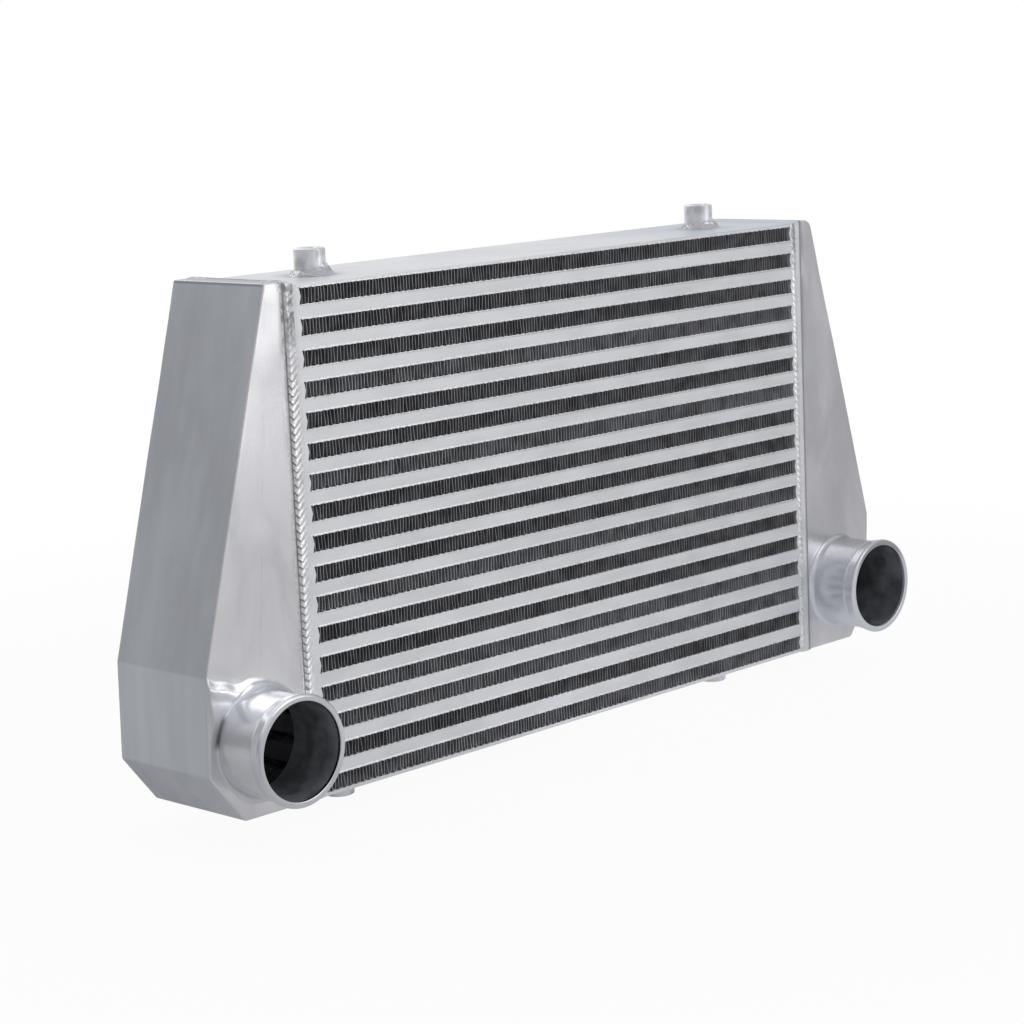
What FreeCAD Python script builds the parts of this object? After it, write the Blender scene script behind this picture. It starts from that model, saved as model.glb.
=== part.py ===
import FreeCAD, Part
import math
import os

from FreeCAD import Vector

# Bar-and-plate intercooler with two fabricated end tanks, in millimetres.
# X runs along the core from the left tank to the right one, Y runs backwards through the core
# and Z runs up. The origin lies midway between the two lower bosses, on their end faces.

# Core stack: rows of ambient air fins, with a charge air tube between each two of them
AMBIENT_ROWS = 17
AMBIENT_HEIGHT = 10.1
CHARGE_HEIGHT = 6.7
SHEET_THICKNESS = 0.8
FIN_ZONE_LENGTH = 460.0
CORE_DEPTH = 87.0
SIDE_PLATE_THICKNESS = 2.0
LONG_BAR_WIDTH = 8.0
END_BAR_WIDTH = 9.5
END_BAR_NOSE = 1.2

# Folded fins: the drawn legs are fewer and thicker than the real ones, with the same metal in all
AMBIENT_LEG_PITCH = 9.9
AMBIENT_FOIL = 0.36
AMBIENT_SETBACK = 0.8
CHARGE_LEGS = 6
CHARGE_FOIL = 0.47
CHARGE_SETBACK = 2.0
FIN_END_GAP = 0.2

# End tanks: widths are measured outwards from the end face of the core, heights from the
# top and the bottom of the tank itself, which stand a little proud of the core's plates
TANK_WALL = 3.0
TANK_RECESS = 1.85
TANK_PROUD_ABOVE = 2.5
TANK_PROUD_BELOW = 1.0
TANK_TOP_WIDTH = 15.3
TANK_FOLD_WIDTH = 76.2
TANK_FOLD_DROP = 222.0
TANK_FULL_WIDTH = 77.7
TANK_BOTTOM_WIDTH = 53.4
TANK_CHAMFER_RISE = 30.7
TANK_FOLD_BEND = 9.0
TANK_LOW_BEND = 4.5
TANK_EDGE_BREAK = 1.2

# Necks: tubes let into the front of the tanks, with a raised lip that holds a hose
NECK_DIAMETER = 63.5
NECK_WALL = 2.25
NECK_LENGTH = 38.5
NECK_OUT = 39.2
NECK_RISE = 45.2
NECK_FIT = 0.1
LIP_DIAMETER = 67.2
LIP_LENGTH = 9.0
LIP_RAMP = 3.0

# Threaded bosses on the top and bottom plates, each with its skirt of weld laid in short dabs
BOSS_DIAMETER = 19.5
BOSS_HEIGHT = 16.5
BOSS_INSET = 48.0
BOSS_CHAMFER = 0.8
THREAD_CORE_DIAMETER = 6.8
THREAD_DEPTH = 13.0
SKIRT_DIAMETER = 34.0
SKIRT_HEIGHT = 7.5
SKIRT_EDGE = 0.5
SKIRT_DABS = 16

# Weld beads
TANK_BEAD_ON_CORE = 4.0
TANK_BEAD_ON_TANK = 3.0
TANK_BEAD_CROWN = 1.6
TANK_BEAD_CAP = 1.0
NECK_WELD_FOOT = 4.2
NECK_WELD_HEIGHT = 6.5

# Two places nearer to each other than this count as the same
SAME_PLACE = 1e-6

# Places that follow from the sizes above
TUBE_HEIGHT = CHARGE_HEIGHT + 2 * SHEET_THICKNESS
ROW_PITCH = AMBIENT_HEIGHT + TUBE_HEIGHT
CORE_BOTTOM = BOSS_HEIGHT
STACK_BOTTOM = CORE_BOTTOM + SIDE_PLATE_THICKNESS
STACK_TOP = STACK_BOTTOM + AMBIENT_ROWS * ROW_PITCH - TUBE_HEIGHT
CORE_TOP = STACK_TOP + SIDE_PLATE_THICKNESS
TANK_BOTTOM = CORE_BOTTOM - TANK_PROUD_BELOW
TANK_TOP = CORE_TOP + TANK_PROUD_ABOVE
CORE_END = FIN_ZONE_LENGTH / 2 + END_BAR_WIDTH
CORE_LENGTH = 2 * CORE_END
CORE_FRONT = -CORE_DEPTH / 2
TANK_FRONT = CORE_FRONT + TANK_RECESS
TANK_INNER_FRONT = TANK_FRONT + TANK_WALL
TANK_BENDS = [TANK_FOLD_BEND, TANK_LOW_BEND, TANK_LOW_BEND]
BOSS_OUT = FIN_ZONE_LENGTH / 2 - BOSS_INSET
NECK_RADIUS = NECK_DIAMETER / 2
NECK_MOUTH = TANK_FRONT - NECK_LENGTH
NECK_CENTRE_X = CORE_END + NECK_OUT
NECK_CENTRE_Z = TANK_BOTTOM + NECK_RISE

X_AXIS = Vector(1, 0, 0)
Y_AXIS = Vector(0, 1, 0)
Z_AXIS = Vector(0, 0, 1)
MIDDLE = Vector(0, 0, 0)


def block(x_range, y_range, z_range):
    """A plain bar or sheet between three pairs of limits."""
    sizes = [high - low for low, high in (x_range, y_range, z_range)]
    return Part.makeBox(*sizes, Vector(x_range[0], y_range[0], z_range[0]))


def mirrored(shape):
    """The same shape on the other side of the core."""
    return shape.mirror(MIDDLE, X_AXIS)


def turned(profile, centre, axis):
    """A solid turned from a closed profile about an axis."""
    face = Part.Face(Part.makePolygon(profile + profile[:1]))
    return face.revolve(centre, axis, 360)


def rounded_path(points, radii):
    """Edges through the points, with a tangent arc at each inner point that has a radius."""
    edges = []
    start = points[0]
    for before, corner, after, radius in zip(points, points[1:], points[2:], radii):
        if not radius:
            edges.append(Part.LineSegment(start, corner).toShape())
            start = corner
            continue
        arriving = (corner - before).normalize()
        leaving = (after - corner).normalize()
        half_turn = arriving.getAngle(leaving) / 2
        reach = radius * math.tan(half_turn)
        inwards = (leaving - arriving).normalize()
        arc_start = corner - arriving * reach
        arc_end = corner + leaving * reach
        arc_middle = corner + inwards * radius * (1 / math.cos(half_turn) - 1)
        edges.append(Part.LineSegment(start, arc_start).toShape())
        edges.append(Part.Arc(arc_start, arc_middle, arc_end).toShape())
        start = arc_end
    edges.append(Part.LineSegment(start, points[-1]).toShape())
    return edges


def offset_points(points, distance):
    """The points of a bent line in the XZ plane, moved sideways by a wall's thickness."""
    runs = [(end - start).normalize() for start, end in zip(points, points[1:])]
    sides = [Vector(run.z, 0, -run.x) for run in runs]
    moved = [points[0] + sides[0] * distance]
    for point, side, next_side in zip(points[1:], sides, sides[1:]):
        middle = (side + next_side).normalize()
        moved.append(point + middle * (distance / middle.dot(side)))
    moved.append(points[-1] + sides[-1] * distance)
    return moved


def legs_across(length, pitch):
    """The even number of legs whose pitch comes nearest to the given one."""
    return 2 * max(1, round(length / pitch / 2))


def folded_strip(length, height, legs, foil):
    """Upper and lower outlines of a strip folded to and fro, as pairs of along and up."""
    run = length / legs
    wall = foil * math.hypot(run, height) / run
    crest = (height - wall) / 2
    line = [(-length / 2 + i * run, crest if i % 2 else -crest) for i in range(legs + 1)]
    upper = [(along, up + wall / 2) for along, up in line]
    lower = [(along, up - wall / 2) for along, up in line]
    return upper + lower[::-1]


def row_bottom(row):
    """Height of the underside of an ambient row, counted from the top row down."""
    return STACK_TOP - AMBIENT_HEIGHT - row * ROW_PITCH


def ambient_fin(row):
    """Folded fin of one ambient row, brazed by its crests to the sheets above and below."""
    length = FIN_ZONE_LENGTH - 2 * (END_BAR_NOSE + FIN_END_GAP)
    front = CORE_FRONT + AMBIENT_SETBACK
    middle = row_bottom(row) + AMBIENT_HEIGHT / 2
    legs = legs_across(length, AMBIENT_LEG_PITCH)
    outline = folded_strip(length, AMBIENT_HEIGHT, legs, AMBIENT_FOIL)
    points = [Vector(along, front, middle + up) for along, up in outline]
    face = Part.Face(Part.makePolygon(points + points[:1]))
    return face.extrude(Y_AXIS * (CORE_DEPTH - 2 * AMBIENT_SETBACK))


def charge_fin(row):
    """Folded fin inside the charge tube that lies under an ambient row."""
    width = CORE_DEPTH - 2 * LONG_BAR_WIDTH
    start = -CORE_END + CHARGE_SETBACK
    middle = row_bottom(row) - TUBE_HEIGHT / 2
    outline = folded_strip(width, CHARGE_HEIGHT, CHARGE_LEGS, CHARGE_FOIL)
    points = [Vector(start, along, middle + up) for along, up in outline]
    face = Part.Face(Part.makePolygon(points + points[:1]))
    return face.extrude(X_AXIS * (CORE_LENGTH - 2 * CHARGE_SETBACK))


def charge_tube(row):
    """Two parting sheets and the two long bars between them, which close front and back."""
    top = row_bottom(row)
    bottom = top - TUBE_HEIGHT
    along = (-CORE_END, CORE_END)
    through = (CORE_FRONT, -CORE_FRONT)
    between = (bottom + SHEET_THICKNESS, top - SHEET_THICKNESS)
    return Part.makeCompound([
        block(along, through, (bottom, between[0])),
        block(along, through, (between[1], top)),
        block(along, (CORE_FRONT, CORE_FRONT + LONG_BAR_WIDTH), between),
        block(along, (-CORE_FRONT - LONG_BAR_WIDTH, -CORE_FRONT), between),
    ])


def end_bar(row):
    """Bar that closes the right end of an ambient row, with its nose towards the fins."""
    inner = FIN_ZONE_LENGTH / 2
    bottom = row_bottom(row)
    top = bottom + AMBIENT_HEIGHT
    nose = (inner - END_BAR_NOSE, (bottom + top) / 2)
    outline = [(inner, bottom), (CORE_END, bottom), (CORE_END, top), (inner, top), nose]
    points = [Vector(along, CORE_FRONT, up) for along, up in outline]
    face = Part.Face(Part.makePolygon(points + points[:1]))
    return face.extrude(Y_AXIS * CORE_DEPTH)


def side_plate(bottom):
    """Top or bottom plate of the core."""
    return block((-CORE_END, CORE_END), (CORE_FRONT, -CORE_FRONT),
                 (bottom, bottom + SIDE_PLATE_THICKNESS))


def tank_outline():
    """Corners of the right tank seen from the front, from its top joint round to its bottom one."""
    corners = [
        (0, TANK_TOP),
        (TANK_TOP_WIDTH, TANK_TOP),
        (TANK_FOLD_WIDTH, TANK_TOP - TANK_FOLD_DROP),
        (TANK_FULL_WIDTH, TANK_BOTTOM + TANK_CHAMFER_RISE),
        (TANK_BOTTOM_WIDTH, TANK_BOTTOM),
        (0, TANK_BOTTOM),
    ]
    return [Vector(CORE_END + out, 0, up) for out, up in corners]


def across_tank(face):
    """A sheet of the right tank that runs from its front sheet to its back one."""
    face.translate(Y_AXIS * TANK_INNER_FRONT)
    return face.extrude(Y_AXIS * -2 * TANK_INNER_FRONT)


def tank_top_sheet():
    """Flat sheet that closes the right tank at its top, mitred to the wrap."""
    outer = tank_outline()
    inner = offset_points(outer, TANK_WALL)
    corners = outer[:2] + inner[1::-1]
    return across_tank(Part.Face(Part.makePolygon(corners + corners[:1])))


def tank_wrap():
    """Outer sheet of the right tank, bent round its side, foot and bottom."""
    outer = tank_outline()
    inner = offset_points(outer, TANK_WALL)
    edges = rounded_path(outer[1:], TANK_BENDS)
    edges += rounded_path(inner[1:], [bend - TANK_WALL for bend in TANK_BENDS])
    edges.append(Part.LineSegment(outer[1], inner[1]).toShape())
    edges.append(Part.LineSegment(outer[-1], inner[-1]).toShape())
    return across_tank(Part.Face(Part.Wire(Part.__sortEdges__(edges))))


def tank_plate(outer_face, inwards):
    """Front or back sheet of the right tank, its free edges broken by grinding."""
    corners = tank_outline()
    edges = rounded_path(corners, [0] + TANK_BENDS)
    edges.append(Part.LineSegment(corners[-1], corners[0]).toShape())
    face = Part.Face(Part.Wire(Part.__sortEdges__(edges)))
    face.translate(Y_AXIS * outer_face)
    plate = face.extrude(Y_AXIS * TANK_WALL * inwards)
    ground = [
        edge for edge in plate.Edges
        if abs(edge.BoundBox.YMin - outer_face) < SAME_PLACE
        and abs(edge.BoundBox.YMax - outer_face) < SAME_PLACE
        and edge.CenterOfMass.x > CORE_END + SAME_PLACE
    ]
    return plate.makeChamfer(TANK_EDGE_BREAK, ground)


def tank_front_plate():
    """Front sheet of the right tank, with the hole that its neck is let into."""
    hole_centre = Vector(NECK_CENTRE_X, TANK_FRONT, NECK_CENTRE_Z)
    hole = Part.makeCylinder(NECK_RADIUS + NECK_FIT, TANK_WALL, hole_centre, Y_AXIS)
    return tank_plate(TANK_FRONT, 1).cut(hole)


def neck():
    """Neck of the right tank: a plain tube that swells into its lip before the mouth."""
    bore = NECK_RADIUS - NECK_WALL
    lip = LIP_DIAMETER / 2
    lip_start = NECK_MOUTH + LIP_LENGTH
    profile = [
        (bore, TANK_INNER_FRONT),
        (NECK_RADIUS, TANK_INNER_FRONT),
        (NECK_RADIUS, lip_start),
        (lip, lip_start - LIP_RAMP),
        (lip, NECK_MOUTH),
        (bore, NECK_MOUTH),
    ]
    points = [Vector(NECK_CENTRE_X + out, along, NECK_CENTRE_Z) for out, along in profile]
    return turned(points, Vector(NECK_CENTRE_X, 0, NECK_CENTRE_Z), Y_AXIS)


def neck_weld():
    """Dressed fillet weld in the corner between the right neck and its tank."""
    profile = [
        (NECK_RADIUS, TANK_FRONT),
        (NECK_RADIUS + NECK_WELD_FOOT, TANK_FRONT),
        (NECK_RADIUS, TANK_FRONT - NECK_WELD_HEIGHT),
    ]
    points = [Vector(NECK_CENTRE_X + out, along, NECK_CENTRE_Z) for out, along in profile]
    return turned(points, Vector(NECK_CENTRE_X, 0, NECK_CENTRE_Z), Y_AXIS)


def bead(outline, arc_points, travel):
    """Straight weld bead: a flat-footed outline closed by one arc, drawn along its joint."""
    corners = [arc_points[-1]] + outline + [arc_points[0]]
    edges = [Part.LineSegment(start, end).toShape() for start, end in zip(corners, corners[1:])]
    edges.append(Part.Arc(*arc_points).toShape())
    return Part.Face(Part.Wire(Part.__sortEdges__(edges))).extrude(travel)


def tank_weld():
    """The four beads that join the right tank to the core, round the end of the core."""
    on_core = CORE_END - TANK_BEAD_ON_CORE
    on_tank = CORE_END + TANK_BEAD_ON_TANK
    crown_x = (on_core + on_tank) / 2
    half_depth = -TANK_FRONT
    upright = Z_AXIS * (CORE_TOP - CORE_BOTTOM)
    across = Y_AXIS * 2 * half_depth

    def flat_bead(core_level, tank_level, cap_level):
        """Bead across the top or the bottom, over the step from the core up to the tank."""
        return bead(
            [Vector(CORE_END, TANK_FRONT, tank_level), Vector(CORE_END, TANK_FRONT, core_level)],
            [Vector(on_core, TANK_FRONT, core_level),
             Vector(crown_x, TANK_FRONT, cap_level),
             Vector(on_tank, TANK_FRONT, tank_level)],
            across)

    front = bead(
        [Vector(CORE_END, TANK_FRONT, CORE_BOTTOM), Vector(CORE_END, CORE_FRONT, CORE_BOTTOM)],
        [Vector(on_core, CORE_FRONT, CORE_BOTTOM),
         Vector(crown_x, CORE_FRONT - TANK_BEAD_CROWN, CORE_BOTTOM),
         Vector(on_tank, TANK_FRONT, CORE_BOTTOM)],
        upright)
    back = front.mirror(MIDDLE, Y_AXIS)
    top = flat_bead(CORE_TOP, TANK_TOP, TANK_TOP + TANK_BEAD_CAP)
    bottom = flat_bead(CORE_BOTTOM, TANK_BOTTOM, TANK_BOTTOM - TANK_BEAD_CAP)
    return Part.makeCompound([front, back, top, bottom])


def ring_of_flats(radius, height, flats):
    """Corners of a regular polygon round the Z axis."""
    turns = [2 * math.pi * i / flats for i in range(flats)]
    return [Vector(radius * math.cos(turn), radius * math.sin(turn), height) for turn in turns]


def weld_skirt():
    """Skirt of weld round a boss, one flat to each dab, sloping up from a thin edge."""
    top_radius = (BOSS_DIAMETER / 2 + SKIRT_EDGE) / math.cos(math.pi / SKIRT_DABS)
    rings = [
        ring_of_flats(SKIRT_DIAMETER / 2, 0, SKIRT_DABS),
        ring_of_flats(SKIRT_DIAMETER / 2, SKIRT_EDGE, SKIRT_DABS),
        ring_of_flats(top_radius, SKIRT_HEIGHT, SKIRT_DABS),
    ]
    faces = [Part.Face(Part.makePolygon(ring + ring[:1])) for ring in (rings[0], rings[-1])]
    for lower, upper in zip(rings, rings[1:]):
        for i in range(SKIRT_DABS):
            corners = [lower[i - 1], lower[i], upper[i], upper[i - 1]]
            faces.append(Part.Face(Part.makePolygon(corners + corners[:1])))
    return Part.makeSolid(Part.makeShell(faces))


def boss():
    """Round boss with a blind threaded hole, standing on its base and welded round its foot."""
    radius = BOSS_DIAMETER / 2
    hole = THREAD_CORE_DIAMETER / 2
    hole_floor = BOSS_HEIGHT - THREAD_DEPTH
    profile = [
        (0, 0), (radius, 0), (radius, BOSS_HEIGHT - BOSS_CHAMFER),
        (radius - BOSS_CHAMFER, BOSS_HEIGHT), (0, BOSS_HEIGHT),
    ]
    body = turned([Vector(out, 0, up) for out, up in profile], MIDDLE, Z_AXIS)
    thread_core = Part.makeCylinder(hole, THREAD_DEPTH, Vector(0, 0, hole_floor))
    return body.fuse(weld_skirt()).cut(thread_core).removeSplitter()


def pair_above(shape):
    """A piece on both ends of the top plate."""
    places = [Vector(-BOSS_OUT, 0, CORE_TOP), Vector(BOSS_OUT, 0, CORE_TOP)]
    return Part.makeCompound([shape.translated(place) for place in places])


def pair_below(shape):
    """The same piece on both ends of the bottom plate, upside down."""
    hanging = shape.mirror(MIDDLE, Z_AXIS)
    places = [Vector(-BOSS_OUT, 0, CORE_BOTTOM), Vector(BOSS_OUT, 0, CORE_BOTTOM)]
    return Part.makeCompound([hanging.translated(place) for place in places])


def core_nodes():
    """Every piece of the brazed core."""
    rows = range(AMBIENT_ROWS)
    tubes = range(AMBIENT_ROWS - 1)
    right_bars = Part.makeCompound([end_bar(row) for row in rows])
    nodes = {f"ambient_fin_{row + 1:02d}": ambient_fin(row) for row in rows}
    nodes.update({f"charge_tube_{row + 1:02d}": charge_tube(row) for row in tubes})
    nodes["charge_fins"] = Part.makeCompound([charge_fin(row) for row in tubes])
    nodes["right_end_bars"] = right_bars
    nodes["left_end_bars"] = mirrored(right_bars)
    nodes["top_plate"] = side_plate(STACK_TOP)
    nodes["bottom_plate"] = side_plate(CORE_BOTTOM)
    return nodes


def on_both_sides(shape):
    """A piece of the right tank together with its mirror image."""
    return Part.makeCompound([mirrored(shape), shape])


def tank_nodes():
    """Every piece of the two tanks, the left ones mirror images of the right ones."""
    right = {
        "tank_wrap": tank_wrap(),
        "tank_top_sheet": tank_top_sheet(),
        "tank_front_plate": tank_front_plate(),
        "tank_back_plate": tank_plate(-TANK_FRONT, -1),
        "tank_weld": tank_weld(),
    }
    nodes = {"necks": on_both_sides(neck()), "neck_welds": on_both_sides(neck_weld())}
    for name, shape in right.items():
        nodes["right_" + name] = shape
        nodes["left_" + name] = mirrored(shape)
    return nodes


def boss_nodes():
    """The bosses of the top and bottom plates."""
    return {"upper_bosses": pair_above(boss()), "lower_bosses": pair_below(boss())}


def main():
    os.makedirs("parts", exist_ok=True)
    for nodes in (core_nodes(), tank_nodes(), boss_nodes()):
        for name, shape in nodes.items():
            shape.exportStep(f"parts/{name}.step")


main()
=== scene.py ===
"""Looks of a bar-and-plate intercooler: fins, bars, tanks, necks, welds, bosses and a studio."""

import math
import random

import bmesh
import bpy
from mathutils import Matrix, Vector, noise


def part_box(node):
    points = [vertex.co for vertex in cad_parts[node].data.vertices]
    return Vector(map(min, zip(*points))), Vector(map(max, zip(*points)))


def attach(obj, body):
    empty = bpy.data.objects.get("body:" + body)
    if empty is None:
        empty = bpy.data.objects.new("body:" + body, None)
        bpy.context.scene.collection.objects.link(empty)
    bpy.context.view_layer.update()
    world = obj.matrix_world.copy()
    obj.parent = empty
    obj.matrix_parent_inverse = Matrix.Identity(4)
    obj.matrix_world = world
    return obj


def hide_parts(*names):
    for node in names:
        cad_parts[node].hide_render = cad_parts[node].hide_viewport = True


bl_info = {
    "name": "Intercooler looks",
    "version": (1, 0, 0),
    "blender": (4, 5, 0),
    "location": "3D View > Sidebar > Intercooler",
    "description": "Dresses the packed intercooler with fins, tanks, welds, necks, bosses and a studio",
    "category": "Object",
}

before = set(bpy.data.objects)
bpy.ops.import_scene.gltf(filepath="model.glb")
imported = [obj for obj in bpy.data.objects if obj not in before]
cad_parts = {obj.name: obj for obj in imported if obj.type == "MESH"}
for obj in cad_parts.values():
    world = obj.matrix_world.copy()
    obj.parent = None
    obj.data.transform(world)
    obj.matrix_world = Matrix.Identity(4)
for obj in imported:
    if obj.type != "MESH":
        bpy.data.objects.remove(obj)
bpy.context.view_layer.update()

BODY = "root"
MM = 0.001
ROWS = 17
TUBES = 16

# The sides of the object, each with the sign of its places along X
SIDES = (("right", 1), ("left", -1))

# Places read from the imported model, in metres
CORE_LOW, CORE_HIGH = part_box("bottom_plate")[0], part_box("top_plate")[1]
STACK_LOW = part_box("ambient_fin_17")[0].z
ROW_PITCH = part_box("ambient_fin_01")[0].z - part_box("ambient_fin_02")[0].z
ROW_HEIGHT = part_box("ambient_fin_01")[1].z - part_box("ambient_fin_01")[0].z
FIN_END = -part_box("left_end_bars")[1].x
CORE_END = CORE_HIGH.x
TANK_LOW, TANK_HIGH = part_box("right_tank_front_plate")
TANK_FRONT = TANK_LOW.y
NECK_LOW, NECK_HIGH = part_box("necks")
LIP_RADIUS = (NECK_HIGH.z - NECK_LOW.z) / 2
NECK_CENTRE = Vector((NECK_HIGH.x - LIP_RADIUS, 0, (NECK_HIGH.z + NECK_LOW.z) / 2))

# Rows of foil, counted from the top, painted paler than the rest as painted light, and by how much
PALE_ROWS = (4, 7, 11, 14, 15, 17)
PALER = 1.45

# Places on a crest of the foil, in degrees from its top
CREST_TURNS = (-80, -30, 30, 80)

# How far the edges of a bar and of a plate are broken, and how near two of their corners count as one
BAR_EDGE = 0.1 * MM
PLATE_EDGE = 0.5 * MM
SAME_CORNER = 1e-6

# Longest step along a tank's outline in its bent sheet, its front sheet and its back sheet, and the
# steps round one of its bends
WRAP_STEP = 0.02
FRONT_STEP = 0.002
BACK_STEP = 0.0025
BEND_STEPS = 7

# Points round a neck, the weld at its foot, a boss and the weld at its foot
NECK_SEGMENTS = 144
FILLET_SEGMENTS = 160
BOSS_SEGMENTS = 48
SKIRT_SEGMENTS = 112

# Levels in a turn of a thread, its height, and the side on which the weld round a boss is high
LEVELS_PER_TURN = 6
THREAD_HEIGHT = 0.6 * MM
SKIRT_HIGH_SIDE = Vector((0.7, -0.7, 0))

# Colours that stay as they are: bright braze, the painted bluish reflection on the plate's right end,
# the painted reflection on the right neck and the pits inside
BRIGHT_BRAZE = (0.97, 0.97, 0.98)
PLATE_END_REFLECTION = (0.5, 0.56, 0.64)
RIGHT_NECK_REFLECTION = (0.82, 0.85, 0.92)
PIT = (0.3, 0.31, 0.32)


def length_property(name, description, millimetres):
    """A size that a user would change, kept in metres."""
    return bpy.props.FloatProperty(
        name=name, description=description, default=millimetres * MM,
        min=0.0, precision=5, subtype="DISTANCE", unit="LENGTH")


def share_property(name, description, value):
    """A plain share from nothing to all."""
    return bpy.props.FloatProperty(
        name=name, description=description, default=value, min=0.0, max=1.0, subtype="FACTOR")


def colour_property(name, description, value):
    """A colour in linear light."""
    return bpy.props.FloatVectorProperty(
        name=name, description=description, default=value, size=3, min=0.0, max=1.0, subtype="COLOR")


class FinSettings(bpy.types.PropertyGroup):
    """Folded foil of the ambient rows."""

    leg_pitch: length_property("Leg pitch", "Distance from one leg of the fold to the next", 2.57)
    foil: length_property("Foil", "Thickness of the folded foil", 0.3)
    crest: share_property("Crest", "Radius of a crest as a share of the pitch", 0.47)
    stray: share_property("Stray", "How far a crest strays from its place, as a share of the pitch", 0.15)
    ragged: length_property("Ragged edge", "How far the foil's cut edge varies in depth", 0.25)


class TankSettings(bpy.types.PropertyGroup):
    """Sheet metal of the end tanks."""

    wall: length_property("Wall", "Thickness of the sheets", 3.0)
    top_width: length_property("Top width", "Width of the tank at its top", 15.3)
    fold_width: length_property("Fold width", "Width of the tank at its fold", 76.2)
    fold_drop: length_property("Fold drop", "Height from the top down to the fold", 222.0)
    full_width: length_property("Full width", "Largest width of the tank", 77.7)
    bottom_width: length_property("Bottom width", "Width of the tank at its bottom", 53.4)
    chamfer_rise: length_property("Chamfer rise", "Height of the slanted foot", 30.7)
    top_bend: length_property("Top bend", "Radius of the right tank's top corner", 8.0)
    top_edge: length_property("Top edge", "Radius of the left tank's top corner", 0.8)
    fold_bend: length_property("Fold bend", "Radius of the bend at the fold", 9.0)
    low_bend: length_property("Low bend", "Radius of the two bends at the foot", 4.5)
    edge: length_property("Ground edge", "Radius to which the welded edges are ground", 1.2)
    worn_edge: length_property("Worn edge", "Reach of the ground corner beside a neck", 5.6)
    lower: length_property("Lower", "How much lower the right tank's top came out", 1.5)
    low_bead: length_property("Low bead", "Length on top where the bead is low and dull", 50.0)
    wave: length_property("Waviness", "Height of the waves that polishing leaves", 0.2)
    pillow: length_property("Pillow", "How far the narrow top of a face curves back", 0.4)
    blend: length_property("Ground blend", "Height of the ground ridge above the left neck's middle", 38.0)
    blend_height: length_property("Blend height", "How proud the ground ridge stands", 1.25)


class WeldSettings(bpy.types.PropertyGroup):
    """Rippled beads between the core and the tanks."""

    on_core: length_property("On core", "Width of the bead on the core", 7.5)
    on_tank: length_property("On tank", "Width of the left bead on its tank", 4.2)
    wide: length_property("Wide", "Width of the right bead on its tank", 4.6)
    shift: length_property("Shift", "How far the left bead lies towards its tank", 0.8)
    crown: length_property("Crown", "Height of the bead", 0.9)
    ripple: length_property("Ripple pitch", "Distance from one ripple to the next", 4.5)
    relief: length_property("Ripple relief", "Height of a ripple's step", 0.95)
    chevron: share_property("Chevron", "Slope of the arms of a ripple", 0.8)


class NeckSettings(bpy.types.PropertyGroup):
    """Hose necks with their lips and dressed welds."""

    radius: length_property("Radius", "Outer radius of the tube", 31.75)
    bore: length_property("Bore", "Inner radius of the tube", 29.5)
    lip: length_property("Lip", "Length of the swollen end", 9.1)
    groove: length_property("Groove", "Depth of the groove behind the lip", 0.5)
    mouth: length_property("Mouth", "Radius of the rounded mouth", 1.6)
    fillet_foot: length_property("Fillet foot", "Reach of the weld on the tank", 5.4)
    fillet_height: length_property("Fillet height", "Reach of the weld on the neck", 7.5)
    fillet_right: share_property("Right fillet", "Size of the right weld beside the left one", 0.55)
    fillet_outside: share_property("Fillet outside", "What grinding leaves on the outer side", 0.22)


class BossSettings(bpy.types.PropertyGroup):
    """Threaded bosses and their welds."""

    radius: length_property("Radius", "Outer radius of a boss", 9.75)
    height: length_property("Height", "Height of a boss", 16.5)
    hole: length_property("Hole", "Radius at the crests of the thread", 3.4)
    thread_depth: length_property("Thread depth", "Depth of the hole", 13.0)
    thread_pitch: length_property("Thread pitch", "Pitch of the thread", 1.25)
    skirt: length_property("Skirt", "Radius of the weld at its foot", 17.0)
    skirt_height: length_property("Skirt height", "Height of the weld on the boss", 7.5)
    lean: share_property("Lean", "How much lower a weld lies on its low side", 0.42)
    out: length_property("Out", "Distance of a boss from the middle of the core", 182.0)


class FinishSettings(bpy.types.PropertyGroup):
    """Colours and gloss of the metals."""

    bar: colour_property("Bars", "Brazed bars and plates", (0.87, 0.885, 0.905))
    braze: colour_property("Braze", "Braze along the rows", (0.93, 0.93, 0.95))
    # Dark as the painted shade deep between the legs
    foil: colour_property("Foil", "Ambient fins, deep between the legs", (0.31, 0.315, 0.33))
    # Painted highlight on the edges of the ambient fins
    foil_edge_highlight: colour_property("Foil edges", "Cut edges of the ambient fins", (0.56, 0.57, 0.58))
    side: colour_property("Tank sides", "Brushed outer sheets", (0.72, 0.75, 0.79))
    face: colour_property("Tank faces", "Polished front and back sheets", (0.83, 0.83, 0.85))
    neck: colour_property("Necks", "Turned and polished necks", (0.77, 0.79, 0.82))
    weld: colour_property("Welds", "Weld metal as laid", (0.78, 0.78, 0.79))
    # Darkened as a painted reflection of the floor
    boss_weld: colour_property("Boss welds", "Duller weld round the bosses", (0.6, 0.61, 0.64))
    boss: colour_property("Bosses", "Turned bosses", (0.86, 0.875, 0.9))
    # Colour of the painted shade in the crease beside the left neck
    crease_shade: colour_property("Residue", "Polish that stays in the corners", (0.05, 0.05, 0.06))
    # Oxide, darkened further as painted shade
    inside: colour_property("Inside", "Oxidised metal in the bores and tanks", (0.21, 0.22, 0.24))
    bar_gloss: share_property("Bar roughness", "Roughness of bars and plates", 0.43)
    side_gloss: share_property("Side roughness", "Roughness of the brushed sheets", 0.36)
    face_gloss: share_property("Face roughness", "Roughness of the polished sheets", 0.22)
    neck_gloss: share_property("Neck roughness", "Roughness of the necks", 0.21)
    weld_gloss: share_property("Weld roughness", "Roughness of the welds", 0.27)


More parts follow.
